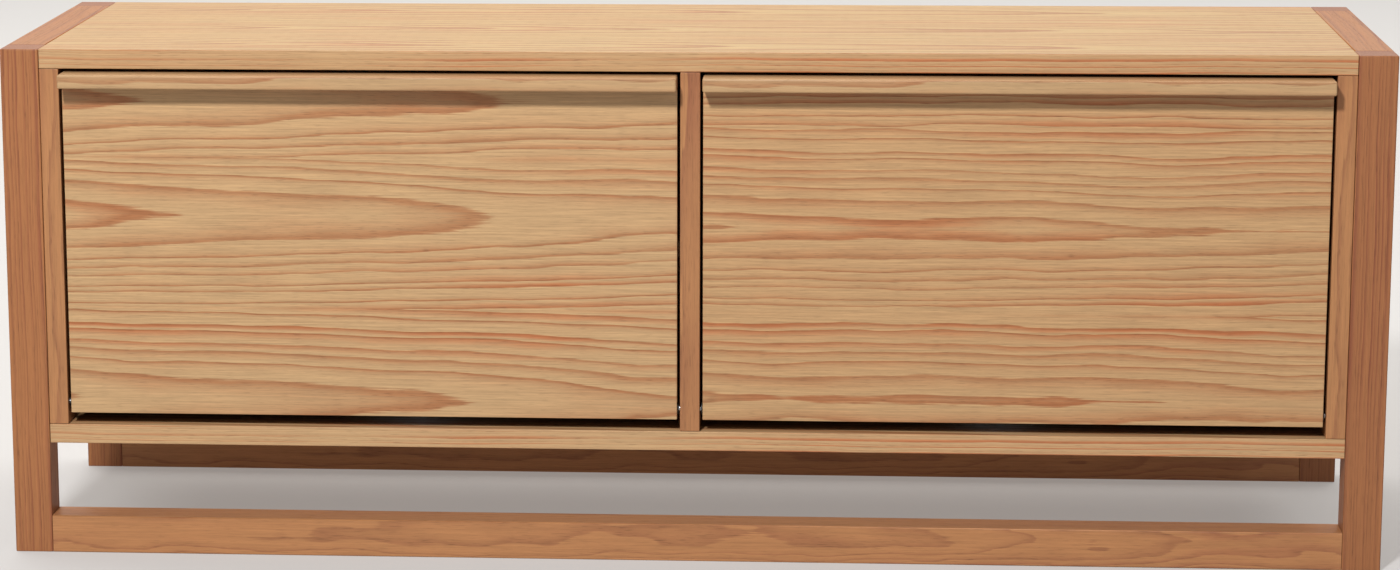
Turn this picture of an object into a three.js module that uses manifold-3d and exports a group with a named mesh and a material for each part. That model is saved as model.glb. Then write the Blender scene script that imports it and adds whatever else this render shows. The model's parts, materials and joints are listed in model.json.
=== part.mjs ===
// Media cabinet: a veneered carcass with two drop-down flaps, hung between two solid oak end
// frames. Millimetres, +Z up, +X to the right, front towards -Y. The origin is on the floor, in
// the middle of the overall box (the pulls included).

import * as THREE from "three";
import { mergeVertices } from "three/addons/utils/BufferGeometryUtils.js";
import Module from "manifold-3d";

const wasm = await Module();
wasm.setup();

// Frame
const WIDTH = 1400;
const HEIGHT = 525;
const DEPTH = 420; // front faces of the front posts to back faces of the back posts
const STOCK = 39; // square section of the posts and rails
const TENON_LENGTH = 22;
const TENON_THICK = 13;
const TENON_SHOULDER = 7;

// Carcass
const PANEL = 20;
const CARCASS_BASE = 116; // underside of the bottom panel above the floor
const CARCASS_INSET = 1.5; // panel edges stand back from the posts, front and back
const BACK_THICK = 8;
const BACK_INSET = 4;
const GAP = 0.3; // left between pieces that touch
const OVERSHOOT = 1; // how far a cutter starts outside the piece that it cuts

// Shelves and their pins
const SHELF_THICK = 18;
const SHELF_BASE = 311;
const SHELF_FRONT = 30;
const SHELF_SIDE_GAP = 1;
const SHELF_BACK_GAP = 6;
const SHELF_PIN_R = 2.5;
const SHELF_PIN_SET = 8;
const SHELF_PIN_REACH = 8;
const SHELF_PIN_INSET = 45; // from the shelf's front and back edges

// Cable outlets in the back panel
const OUTLET_R = 28;
const OUTLET_WALL = 4;
const OUTLET_FLANGE = 10;
const OUTLET_FLANGE_THICK = 2;
const OUTLET_HEIGHT = 230;

// Flaps
const FLAP_THICK = 20;
const FLAP_RECESS = 2.5; // the flap's face behind the posts' faces
const FLAP_SIDE_GAP = 3;
const FLAP_BASE_GAP = 12;
const FLAP_TOP_GAP = 3.5;
const PULL_HEIGHT = 14;
const PULL_OVERHANG = 22; // in front of the posts

// Flap pivots: a steel pin in the carcass turns in a flanged bush in the flap's edge
const PIVOT_R = 3;
const PIVOT_SET = 8;
const PIVOT_REACH = 12;
const PIVOT_RISE = 10; // axis above the flap's bottom edge
const BUSH_BORE_R = 3.1;
const BUSH_R = 5;
const BUSH_LENGTH = 12;
const BUSH_FLANGE_R = 7;
const BUSH_FLANGE_THICK = 1;

// Stays: a slotted bar pivots on a bracket on the flap and slides over a stud in the carcass.
// Rivet and stud stand at the same distance from the flap's axis, so the bar turns exactly half
// as far as the flap does.
const STAY_RADIUS = 120;
const STAY_RIVET_ANGLE = 80.9; // degrees from +Y towards +Z, flap closed
const STAY_STUD_ANGLE = 56.9;
const FLAP_OPENING = 90; // degrees
const BAR_HALF_WIDTH = 8;
const BAR_THICK = 2;
const BAR_OFFSET = 10; // middle of the bar from the side of the bay
const SLOT_HALF_WIDTH = 3.3;
const STUD_R = 3;
const STUD_SET = 8;
const STUD_FLANGE_R = 8;
const STUD_FLANGE_THICK = 1.5;
const STUD_COLLAR_R = 5;
const STUD_HEAD_R = 6.5;
const STUD_HEAD_THICK = 1.8;
const STUD_PLAY = 1; // on each side of the bar
const RIVET_R = 3;
const RIVET_BORE_R = 3.1;
const RIVET_HEAD_R = 5;
const RIVET_HEAD_THICK = 1.8;
const RIVET_PLAY = 0.7; // between the head and the bar
const RIVET_TAIL_R = 4.6;
const RIVET_TAIL_THICK = 1.5;
const LUG_THICK = 3;
const LUG_OFFSET = 14.5; // middle of the bracket's lug from the side of the bay
const LUG_HALF_WIDTH = 8;
const BRACKET_HEIGHT = 46;
const BRACKET_WIDTH = 16;
const BRACKET_THICK = 2;

// Magnetic catches
const CATCH_WIDTH = 42;
const CATCH_DEPTH = 16;
const CATCH_HEIGHT = 13;
const STRIKE_WIDTH = 32;
const STRIKE_HEIGHT = 11;
const STRIKE_THICK = 1.2;

// Derived places, with Y counted from the posts' front faces
const FRAME_INNER = WIDTH / 2 - STOCK;
const CARCASS_HALF = FRAME_INNER - GAP;
const CARCASS_FRONT = CARCASS_INSET;
const CARCASS_REAR = DEPTH - CARCASS_INSET;
const BAY_OUTER = FRAME_INNER - PANEL;
const BAY_INNER = PANEL / 2;
const BAY_FLOOR = CARCASS_BASE + PANEL;
const BAY_CEILING = HEIGHT - PANEL;
const BACK_FACE = CARCASS_REAR - BACK_INSET - BACK_THICK;
const FLAP_BASE = BAY_FLOOR + FLAP_BASE_GAP;
const FLAP_TOP = BAY_CEILING - FLAP_TOP_GAP;
const FLAP_BACK = FLAP_RECESS + FLAP_THICK;
const PULL_BASE = FLAP_TOP - PULL_HEIGHT;
const PIVOT_Y = FLAP_RECESS + FLAP_THICK / 2;
const PIVOT_Z = FLAP_BASE + PIVOT_RISE;

const BAYS = [
  { name: "left", from: -BAY_OUTER, to: -BAY_INNER },
  { name: "right", from: BAY_INNER, to: BAY_OUTER },
];

const solidOak = { color: 0x9a6a44, roughness: 0.5, metalness: 0 };
const oakVeneer = { color: 0xc08f5e, roughness: 0.5, metalness: 0 };
const steel = { color: 0xa9abad, roughness: 0.35, metalness: 1 };
const blackSteel = { color: 0x3a3a3c, roughness: 0.45, metalness: 1 };
const nylon = { color: 0x262524, roughness: 0.5, metalness: 0 };
const blackPlastic = { color: 0x1d1c1b, roughness: 0.6, metalness: 0 };

const cabinet = new THREE.Group();
cabinet.position.y = -(DEPTH + PULL_OVERHANG) / 2 + PULL_OVERHANG;

function add(name, geometry, finish) {
  const mesh = new THREE.Mesh(geometry, new THREE.MeshStandardMaterial(finish));
  mesh.name = name;
  cabinet.add(mesh);
  return mesh;
}

// Range of the given half width about a middle.
const about = (middle, half) => [middle - half, middle + half];

// Box between pairs of coordinates given in either order.
function block([x0, x1], [y0, y1], [z0, z1]) {
  const box = new THREE.BoxGeometry(Math.abs(x1 - x0), Math.abs(y1 - y0), Math.abs(z1 - z0));
  return box.translate((x0 + x1) / 2, (y0 + y1) / 2, (z0 + z1) / 2);
}

// Turned piece along X, from a closed profile of [distance along X, radius] points.
function turned(profile, segments = 16) {
  const points = profile.map(([along, radius]) => new THREE.Vector2(radius, along));
  return new THREE.LatheGeometry(points, segments).rotateZ(-Math.PI / 2);
}

// Round bar along X from one place to another.
function rod(from, to, radius, segments = 16) {
  return turned([[from, 0], [from, radius], [to, radius], [to, 0]], segments);
}

function toSolid(geometry) {
  const bare = geometry.clone();
  bare.deleteAttribute("normal");
  bare.deleteAttribute("uv");
  const merged = mergeVertices(bare);
  const vertProperties = new Float32Array(merged.attributes.position.array);
  const triVerts = new Uint32Array(merged.index.array);
  return new wasm.Manifold(new wasm.Mesh({ numProp: 3, vertProperties, triVerts }));
}

function toGeometry(solid) {
  const { vertProperties, triVerts } = solid.getMesh();
  const geometry = new THREE.BufferGeometry();
  geometry.setAttribute("position", new THREE.BufferAttribute(vertProperties, 3));
  geometry.setIndex(new THREE.BufferAttribute(triVerts, 1));
  geometry.computeVertexNormals();
  return geometry;
}

function joined(first, others) {
  return toGeometry(others.reduce((sum, piece) => sum.add(toSolid(piece)), toSolid(first)));
}

function cut(base, cutters) {
  return toGeometry(cutters.reduce((rest, tool) => rest.subtract(toSolid(tool)), toSolid(base)));
}

// The same block grown on every side, to cut a mortise with.
function grown(ranges, by) {
  return block(...ranges.map(([low, high]) => [Math.min(low, high) - by, Math.max(low, high) + by]));
}

// A rail's two tenons along its length, each from a root inside the rail to its tip.
function tenonEnds(low, high) {
  return [[low + TENON_SHOULDER, low - TENON_LENGTH], [high - TENON_SHOULDER, high + TENON_LENGTH]];
}

const railHeart = (low) => [low + TENON_SHOULDER, low + STOCK - TENON_SHOULDER];
const tenonBand = (low) => [low + (STOCK - TENON_THICK) / 2, low + (STOCK + TENON_THICK) / 2];

// Base rails lie on the floor between the posts, top rails run front to back in each end frame.
function baseRails() {
  const span = [-FRAME_INNER + GAP, FRAME_INNER - GAP];
  const ends = tenonEnds(...span);
  return [["front_base_rail", 0], ["back_base_rail", DEPTH - STOCK]].map(([name, y]) => ({
    name,
    body: [span, [y, y + STOCK], [0, STOCK]],
    tenons: ends.map((end) => [end, tenonBand(y), railHeart(0)]),
  }));
}

function topRails() {
  const run = [STOCK + GAP, DEPTH - STOCK - GAP];
  const ends = tenonEnds(...run);
  const z = HEIGHT - STOCK;
  return [["left_top_rail", -WIDTH / 2], ["right_top_rail", FRAME_INNER]].map(([name, x]) => ({
    name,
    body: [[x, x + STOCK], run, [z, HEIGHT]],
    tenons: ends.map((end) => [tenonBand(x), end, railHeart(z)]),
  }));
}

function addFrame() {
  const rails = [...baseRails(), ...topRails()];
  for (const { name, body, tenons } of rails) {
    add(name, joined(block(...body), tenons.map((tenon) => block(...tenon))), solidOak);
  }
  const mortises = rails.flatMap(({ tenons }) => tenons.map((tenon) => grown(tenon, GAP)));
  for (const [side, x] of [["left", -WIDTH / 2], ["right", FRAME_INNER]]) {
    for (const [end, y] of [["front", 0], ["back", DEPTH - STOCK]]) {
      const post = block([x, x + STOCK], [y, y + STOCK], [0, HEIGHT]);
      add(`${end}_${side}_post`, cut(post, mortises), solidOak);
    }
  }
}

// Everything let into the sides of a bay: place along Y and Z, radius and depth of its hole.
function bayFittings() {
  const shelfBack = BACK_FACE - SHELF_BACK_GAP;
  const pinZ = SHELF_BASE - GAP - SHELF_PIN_R;
  return {
    pivot: { y: PIVOT_Y, z: PIVOT_Z, radius: PIVOT_R, depth: PIVOT_SET },
    stud: { ...polar(STAY_STUD_ANGLE), radius: STUD_R, depth: STUD_SET },
    shelfFront: { y: SHELF_FRONT + SHELF_PIN_INSET, z: pinZ, radius: SHELF_PIN_R, depth: SHELF_PIN_SET },
    shelfRear: { y: shelfBack - SHELF_PIN_INSET, z: pinZ, radius: SHELF_PIN_R, depth: SHELF_PIN_SET },
  };
}

// Point at the stay's radius from the flap's axis.
function polar(degrees) {
  const angle = THREE.MathUtils.degToRad(degrees);
  return { y: PIVOT_Y + STAY_RADIUS * Math.cos(angle), z: PIVOT_Z + STAY_RADIUS * Math.sin(angle) };
}

// Holes bored into a panel face at x, with inward = 1 where the bay lies on the +X side.
function bores(x, inward) {
  return Object.values(bayFittings()).map(({ y, z, radius, depth }) => {
    const hole = rod(-(depth + GAP), OVERSHOOT, radius + GAP);
    if (inward < 0) hole.rotateZ(Math.PI);
    return hole.translate(x, y, z);
  });
}

function addCarcass() {
  const run = [CARCASS_FRONT, CARCASS_REAR];
  const rise = [BAY_FLOOR + GAP, BAY_CEILING - GAP];
  const span = [-CARCASS_HALF, CARCASS_HALF];
  add("top_panel", block(span, run, [BAY_CEILING, HEIGHT]), oakVeneer);
  add("bottom_panel", block(span, run, [CARCASS_BASE, BAY_FLOOR]), oakVeneer);
  const left = cut(block([-CARCASS_HALF, -BAY_OUTER], run, rise), bores(-BAY_OUTER, 1));
  add("left_side_panel", left, oakVeneer);
  const right = cut(block([BAY_OUTER, CARCASS_HALF], run, rise), bores(BAY_OUTER, -1));
  add("right_side_panel", right, oakVeneer);
  const divider = block([-BAY_INNER, BAY_INNER], [CARCASS_FRONT, BACK_FACE - GAP], rise);
  add("centre_divider", cut(divider, [...bores(-BAY_INNER, -1), ...bores(BAY_INNER, 1)]), oakVeneer);
}

// Turned piece about Y instead of X, at a place in the back panel.
function turnedThroughBack(profile, x) {
  return turned(profile, 24).rotateZ(Math.PI / 2).translate(x, BACK_FACE, OUTLET_HEIGHT);
}

function addBack() {
  const inset = [BACK_FACE, BACK_FACE + BACK_THICK];
  const sheet = block([-BAY_OUTER + GAP, BAY_OUTER - GAP], inset, [BAY_FLOOR + GAP, BAY_CEILING - GAP]);
  const outer = OUTLET_R + OUTLET_WALL;
  const holeR = outer + GAP;
  const far = BACK_THICK + OVERSHOOT;
  const hole = [[-OVERSHOOT, 0], [-OVERSHOOT, holeR], [far, holeR], [far, 0]];
  const middles = BAYS.map(({ from, to }) => (from + to) / 2);
  add("back_panel", cut(sheet, middles.map((x) => turnedThroughBack(hole, x))), oakVeneer);
  const flange = outer + OUTLET_FLANGE;
  const ring = [
    [-GAP - OUTLET_FLANGE_THICK, OUTLET_R], [-GAP - OUTLET_FLANGE_THICK, flange], [-GAP, flange],
    [-GAP, outer], [BACK_THICK, outer], [BACK_THICK, OUTLET_R],
    [-GAP - OUTLET_FLANGE_THICK, OUTLET_R],
  ];
  BAYS.forEach(({ name }, index) => {
    add(`${name}_cable_grommet`, turnedThroughBack(ring, middles[index]), blackPlastic);
  });
}

function addShelf({ name, from, to }) {
  const run = [SHELF_FRONT, BACK_FACE - SHELF_BACK_GAP];
  const span = [from + SHELF_SIDE_GAP, to - SHELF_SIDE_GAP];
  add(`${name}_shelf`, block(span, run, [SHELF_BASE, SHELF_BASE + SHELF_THICK]), oakVeneer);
  const { shelfFront, shelfRear } = bayFittings();
  for (const [end, fitting] of [["front", shelfFront], ["rear", shelfRear]]) {
    for (const [side, x, facing] of [["left", from, 0], ["right", to, Math.PI]]) {
      const shape = rod(-SHELF_PIN_SET, SHELF_PIN_REACH, SHELF_PIN_R, 12);
      const pin = add(`${name}_shelf_pin_${end}_${side}`, shape, steel);
      pin.position.set(x, fitting.y, fitting.z);
      pin.rotation.z = facing;
    }
  }
}

// The flap is a panel with a solid strip on its top edge that reaches forward as the pull.
function addFlap({ name, from, to }) {
  const span = [from + FLAP_SIDE_GAP, to - FLAP_SIDE_GAP];
  const holes = [[span[0], 0], [span[1], Math.PI]].map(([x, facing]) => {
    const hole = rod(-OVERSHOOT, BUSH_LENGTH + GAP, BUSH_R + GAP);
    return hole.rotateZ(facing).translate(x, PIVOT_Y, PIVOT_Z);
  });
  const panel = block(span, [FLAP_RECESS, FLAP_BACK], [FLAP_BASE, PULL_BASE - GAP]);
  add(`${name}_flap_panel`, cut(panel, holes), oakVeneer);
  add(`${name}_flap_pull`, block(span, [-PULL_OVERHANG, FLAP_BACK], [PULL_BASE, FLAP_TOP]), solidOak);
}

// Pivot pin and bush at one end of a flap, along +X from the side of the bay.
function addPivot(label, x, facing) {
  const pin = add(`${label}_pivot_pin`, rod(-PIVOT_SET, PIVOT_REACH, PIVOT_R), steel);
  const edge = FLAP_SIDE_GAP - GAP;
  const end = FLAP_SIDE_GAP + BUSH_LENGTH;
  const sleeve = [
    [edge - BUSH_FLANGE_THICK, BUSH_BORE_R], [edge - BUSH_FLANGE_THICK, BUSH_FLANGE_R],
    [edge, BUSH_FLANGE_R], [edge, BUSH_R], [end, BUSH_R], [end, BUSH_BORE_R],
    [edge - BUSH_FLANGE_THICK, BUSH_BORE_R],
  ];
  const bush = add(`${label}_pivot_bush`, turned(sleeve), nylon);
  for (const piece of [pin, bush]) {
    piece.position.set(x, PIVOT_Y, PIVOT_Z);
    piece.rotation.z = facing;
  }
}

// Distance from rivet to stud with the flap open by the given angle.
function stayChord(opening) {
  const between = THREE.MathUtils.degToRad(STAY_RIVET_ANGLE - STAY_STUD_ANGLE + opening);
  return 2 * STAY_RADIUS * Math.sin(between / 2);
}

// Slotted bar in the YZ plane, its pivot hole at the origin and its slot along +Y.
function stayBar() {
  const near = stayChord(0) - GAP;
  const far = stayChord(FLAP_OPENING) + GAP;
  const outline = new THREE.Shape();
  outline.absarc(far, 0, BAR_HALF_WIDTH, -Math.PI / 2, Math.PI / 2);
  outline.absarc(0, 0, BAR_HALF_WIDTH, Math.PI / 2, Math.PI * 1.5);
  const slot = new THREE.Path();
  slot.absarc(far, 0, SLOT_HALF_WIDTH, -Math.PI / 2, Math.PI / 2);
  slot.absarc(near, 0, SLOT_HALF_WIDTH, Math.PI / 2, Math.PI * 1.5);
  const bore = new THREE.Path();
  bore.absarc(0, 0, RIVET_BORE_R, 0, Math.PI * 2);
  outline.holes.push(slot, bore);
  const settings = { depth: BAR_THICK, bevelEnabled: false, curveSegments: 8 };
  const plate = new THREE.ExtrudeGeometry(outline, settings).translate(0, 0, -BAR_THICK / 2);
  // Turned so that its length lies along +Y and its thickness along +X.
  return plate.rotateX(Math.PI / 2).rotateZ(Math.PI / 2);
}

// Bracket on the flap's inner face: a foot plate with a lug that carries the rivet.
function stayBracket(x, inward, rivet) {
  const lugMiddle = x + inward * LUG_OFFSET;
  const lugStart = x + inward * (LUG_OFFSET - LUG_THICK / 2);
  const face = FLAP_BACK + GAP;
  const foot = [lugStart, lugStart + inward * BRACKET_WIDTH];
  const plate = block(foot, [face, face + BRACKET_THICK], about(rivet.z, BRACKET_HEIGHT / 2));
  const reach = [face, rivet.y + LUG_HALF_WIDTH];
  const upright = block(about(lugMiddle, LUG_THICK / 2), reach, about(rivet.z, LUG_HALF_WIDTH));
  const bore = rod(-LUG_THICK, LUG_THICK, RIVET_R + GAP).translate(lugMiddle, rivet.y, rivet.z);
  return cut(joined(plate, [upright]), [bore]);
}

// Stay at one end of a flap: bracket, rivet, slotted bar and the stud that it slides over.
function addStay(label, x, inward) {
  const facing = inward > 0 ? 0 : Math.PI;
  const rivetPlace = polar(STAY_RIVET_ANGLE);
  const studPlace = polar(STAY_STUD_ANGLE);
  add(`${label}_stay_bracket`, stayBracket(x, inward, rivetPlace), blackSteel);

  const headFace = BAR_OFFSET - BAR_THICK / 2 - RIVET_PLAY;
  const headEnd = headFace - RIVET_HEAD_THICK;
  const tailFace = LUG_OFFSET + LUG_THICK / 2 + GAP;
  const tailEnd = tailFace + RIVET_TAIL_THICK;
  const rivetProfile = [
    [headEnd, 0], [headEnd, RIVET_HEAD_R], [headFace, RIVET_HEAD_R], [headFace, RIVET_R],
    [tailFace, RIVET_R], [tailFace, RIVET_TAIL_R], [tailEnd, RIVET_TAIL_R], [tailEnd, 0],
  ];
  const rivet = add(`${label}_stay_rivet`, turned(rivetProfile), steel);
  rivet.position.set(x, rivetPlace.y, rivetPlace.z);
  rivet.rotation.z = facing;

  const flangeFace = GAP + STUD_FLANGE_THICK;
  const [collarEnd, capFace] = about(BAR_OFFSET, BAR_THICK / 2 + STUD_PLAY);
  const capEnd = capFace + STUD_HEAD_THICK;
  const studProfile = [
    [-STUD_SET, 0], [-STUD_SET, STUD_R], [GAP, STUD_R], [GAP, STUD_FLANGE_R],
    [flangeFace, STUD_FLANGE_R], [flangeFace, STUD_COLLAR_R], [collarEnd, STUD_COLLAR_R],
    [collarEnd, STUD_R], [capFace, STUD_R], [capFace, STUD_HEAD_R], [capEnd, STUD_HEAD_R], [capEnd, 0],
  ];
  const stud = add(`${label}_stay_stud`, turned(studProfile), steel);
  stud.position.set(x, studPlace.y, studPlace.z);
  stud.rotation.z = facing;

  const bar = add(`${label}_stay_bar`, stayBar(), blackSteel);
  bar.position.set(x + inward * BAR_OFFSET, rivetPlace.y, rivetPlace.z);
  bar.rotation.x = Math.atan2(studPlace.z - rivetPlace.z, studPlace.y - rivetPlace.y);
}

// Magnetic catch under the top panel and its strike plate on the back of the pull strip.
function addCatch({ name, from, to }) {
  const middle = (from + to) / 2;
  const strikeFace = FLAP_BACK + GAP + STRIKE_THICK;
  const strike = block(
    about(middle, STRIKE_WIDTH / 2),
    [FLAP_BACK + GAP, strikeFace],
    about(FLAP_TOP - PULL_HEIGHT / 2, STRIKE_HEIGHT / 2),
  );
  add(`${name}_strike_plate`, strike, steel);
  const catchBody = block(
    about(middle, CATCH_WIDTH / 2),
    [strikeFace + GAP, strikeFace + GAP + CATCH_DEPTH],
    [BAY_CEILING - GAP - CATCH_HEIGHT, BAY_CEILING - GAP],
  );
  add(`${name}_magnetic_catch`, catchBody, blackPlastic);
}

addFrame();
addCarcass();
addBack();
for (const bay of BAYS) {
  addShelf(bay);
  addFlap(bay);
  addCatch(bay);
  for (const [end, x, inward] of [["left", bay.from, 1], ["right", bay.to, -1]]) {
    addPivot(`${bay.name}_flap_${end}`, x, inward > 0 ? 0 : Math.PI);
    addStay(`${bay.name}_flap_${end}`, x, inward);
  }
}

export default cabinet;
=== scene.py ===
"""Media cabinet in oak: two end frames of square stock, a veneered carcass and two drop-down flaps.

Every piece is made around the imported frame, in metres, and rides on the body that holds it.
"""

import json
import math

import bmesh
import bpy
from bpy.props import FloatProperty, FloatVectorProperty, PointerProperty
from mathutils import Matrix, Vector


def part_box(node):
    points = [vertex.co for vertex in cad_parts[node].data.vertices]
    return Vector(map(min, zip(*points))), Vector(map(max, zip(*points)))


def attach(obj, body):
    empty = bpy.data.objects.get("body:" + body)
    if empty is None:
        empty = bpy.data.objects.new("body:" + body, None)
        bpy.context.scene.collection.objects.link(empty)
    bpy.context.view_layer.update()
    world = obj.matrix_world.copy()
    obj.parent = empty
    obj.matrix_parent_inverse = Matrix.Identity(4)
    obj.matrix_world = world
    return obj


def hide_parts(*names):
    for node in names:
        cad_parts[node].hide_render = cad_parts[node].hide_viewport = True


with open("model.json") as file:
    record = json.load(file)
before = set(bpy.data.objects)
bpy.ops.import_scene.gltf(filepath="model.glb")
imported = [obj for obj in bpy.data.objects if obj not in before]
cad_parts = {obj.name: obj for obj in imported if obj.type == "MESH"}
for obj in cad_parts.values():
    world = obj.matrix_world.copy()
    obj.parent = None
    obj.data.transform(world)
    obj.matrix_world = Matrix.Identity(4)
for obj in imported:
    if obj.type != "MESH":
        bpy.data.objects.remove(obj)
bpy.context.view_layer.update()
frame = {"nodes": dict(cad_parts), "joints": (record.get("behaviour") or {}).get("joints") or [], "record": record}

bl_info = {
    "name": "Oak media cabinet",
    "version": (1, 0, 0),
    "blender": (4, 5, 0),
    "location": "View3D > Sidebar > Cabinet",
    "description": "Builds the looks of an oak media cabinet around its packed frame",
    "category": "Object",
}

BODY_OF = {node: body for body, nodes in frame["record"]["behaviour"]["bodies"].items() for node in nodes}
MM = 0.001

# Vertices nearer than MERGE are one, and faces that turn by less than FLAT are one flat face.
MERGE = 0.001 * MM
FLAT = math.radians(0.5)

BAYS = ("left", "right")
ENDS = ("left", "right")

RIGHT = (1, 0, 0)
BACK = (0, 1, 0)
FRONT = (0, -1, 0)
UP = (0, 0, 1)
DOWN = (0, 0, -1)


def srgb(code):
    """Linear RGB from an sRGB hex code such as "#c49a6f"."""
    parts = [int(code[i:i + 2], 16) / 255 for i in (1, 3, 5)]
    return tuple(c / 12.92 if c <= 0.04045 else ((c + 0.055) / 1.055) ** 2.4 for c in parts)


# ---------------------------------------------------------------- settings


class CabinetWood(bpy.types.PropertyGroup):
    """Arrises and colours of the oak."""

    frame_arris: FloatProperty(
        name="Frame arris", description="Rounding of the posts' and rails' arrises",
        default=1.2 * MM, min=0, unit="LENGTH")
    panel_arris: FloatProperty(
        name="Panel arris", description="Rounding of the lipped panel edges",
        default=0.8 * MM, min=0, unit="LENGTH")
    pull_arris: FloatProperty(
        name="Pull arris", description="Rounding of the pull strips' arrises",
        default=2.0 * MM, min=0, unit="LENGTH")
    veneer: FloatVectorProperty(
        name="Veneer", description="Plain latewood of the crown-cut veneer",
        default=srgb("#b49269"), subtype="COLOR")
    veneer_line: FloatVectorProperty(
        name="Veneer lines", description="Porous early wood of the veneer's growth rings",
        default=srgb("#945a34"), subtype="COLOR")
    veneer_blush: FloatVectorProperty(
        name="Veneer blush", description="Pinkish heartwood that shows in some rings",
        default=srgb("#ae6a42"), subtype="COLOR")
    solid: FloatVectorProperty(
        name="Solid oak", description="Plain wood of the posts and rails",
        default=srgb("#9f6941"), subtype="COLOR")
    solid_line: FloatVectorProperty(
        name="Solid lines", description="Early wood of the posts and rails",
        default=srgb("#76432c"), subtype="COLOR")
    solid_blush: FloatVectorProperty(
        name="Solid blush", description="Redder bands in the posts and rails",
        default=srgb("#8f5638"), subtype="COLOR")


class CabinetHardware(bpy.types.PropertyGroup):
    """Sizes and colours of the fittings."""

    pin_radius: FloatProperty(
        name="Pivot pin", description="Radius of the pivot pins, rivets and studs",
        default=3.0 * MM, min=0, unit="LENGTH")
    bush_bore: FloatProperty(
        name="Bush bore", description="Radius of the bushes' bore",
        default=3.1 * MM, min=0, unit="LENGTH")
    bush_radius: FloatProperty(
        name="Bush", description="Radius of the bushes' sleeve",
        default=5.0 * MM, min=0, unit="LENGTH")
    bar_width: FloatProperty(
        name="Stay bar", description="Width of the slotted stay bars",
        default=16.0 * MM, min=0, unit="LENGTH")
    slot_width: FloatProperty(
        name="Slot", description="Width of the slot that the stud slides in",
        default=6.6 * MM, min=0, unit="LENGTH")
    outlet_radius: FloatProperty(
        name="Cable outlet", description="Radius of the clear way through each grommet",
        default=28.0 * MM, min=0, unit="LENGTH")
    zinc: FloatVectorProperty(
        name="Zinc", description="Zinc plated steel of pins, studs and screws",
        default=srgb("#c3c5c8"), subtype="COLOR")
    black_coat: FloatVectorProperty(
        name="Black coat", description="Black coating of the stays and brackets",
        default=srgb("#2a2a2c"), subtype="COLOR")
    nylon: FloatVectorProperty(
        name="Nylon", description="Black nylon of the bushes",
        default=srgb("#262524"), subtype="COLOR")
    black_plastic: FloatVectorProperty(
        name="Black plastic", description="Moulded plastic of grommets and catches",
        default=srgb("#1f1e1d"), subtype="COLOR")


class CabinetStage(bpy.types.PropertyGroup):
    """Camera and lights."""

    lens: FloatProperty(
        name="Lens", description="Focal length in millimetres on a 36 mm sensor",
        default=98.59, min=10)
    camera_place: FloatVectorProperty(
        name="Camera", description="Where the camera stands, from the posts' front plane",
        default=(0.1637, -3.8088, 1.0117), subtype="TRANSLATION")
    camera_turn: FloatVectorProperty(
        name="Camera turn", description="Pitch down, yaw and roll of the camera, in degrees",
        default=(11.263, 4.267, -0.256))
    camera_shift: FloatVectorProperty(
        name="Camera shift", description="Shift of the lens to the right and up, in frame widths",
        default=(0.092, 0.025), size=2)
    floor_colour: FloatVectorProperty(
        name="Floor", description="Plain pale studio floor",
        default=srgb("#a3a2a1"), subtype="COLOR")
    floor_light: FloatVectorProperty(
        name="Floor light", description="Colour of the light that the floor gives off",
        default=srgb("#fffaf6"), subtype="COLOR")
    floor_glow: FloatProperty(
        name="Floor glow", description="Light that the floor, a light table, gives off", default=0.25, min=0)
    key_power: FloatProperty(name="Key light", description="Watts of the key light", default=182, min=0)
    fill_power: FloatProperty(name="Fill light", description="Watts of the fill light", default=5, min=0)
    top_power: FloatProperty(
        name="Top light", description="Watts of the wide light overhead", default=280, min=0)
    top_colour: FloatVectorProperty(
        name="Top colour", description="Slightly warm tint of the light overhead",
        default=srgb("#fffaf3"), subtype="COLOR")
    back_power: FloatProperty(
        name="Back light", description="Watts of the wide light behind the cabinet", default=55, min=0)
    sky: FloatProperty(name="Sky", description="Strength of the even studio light", default=0.2, min=0)
    sky_colour: FloatVectorProperty(
        name="Sky colour", description="Cool tint of the even studio light",
        default=srgb("#f8fbff"), subtype="COLOR")


# ---------------------------------------------------------------- mesh tools


def finish_piece(name, bm, material, nodes, body=None):
    """Turn a finished bmesh into the piece that stands for the CAD nodes and rides with them.

    A piece that stands for no node names the body that it rides on.
    """
    mesh = bpy.data.meshes.new(name)
    bm.to_mesh(mesh)
    bm.free()
    piece = bpy.data.objects.new(name, mesh)
    bpy.context.scene.collection.objects.link(piece)
    mesh.materials.append(material)
    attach(piece, body or BODY_OF[nodes[0]])
    if nodes:
        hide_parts(*nodes)
    return piece


def middle(node):
    """Middle of a CAD node's box."""
    low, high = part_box(node)
    return (low + high) / 2


def whole_mesh(node):
    """Bmesh of a CAD node, with its doubles merged and each flat face made whole."""
    bm = bmesh.new()
    bm.from_mesh(frame["nodes"][node].data)
    bmesh.ops.remove_doubles(bm, verts=bm.verts, dist=MERGE)
    bmesh.ops.dissolve_limit(bm, angle_limit=FLAT, verts=bm.verts, edges=bm.edges)
    return bm


def on_outside(edge, low, high):
    """True for an edge along two faces of the board's own box."""
    tolerance = 0.01 * MM
    planes = 0
    for axis in range(3):
        for limit in (low[axis], high[axis]):
            planes += all(abs(vert.co[axis] - limit) < tolerance for vert in edge.verts)
    return planes == 2


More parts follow.
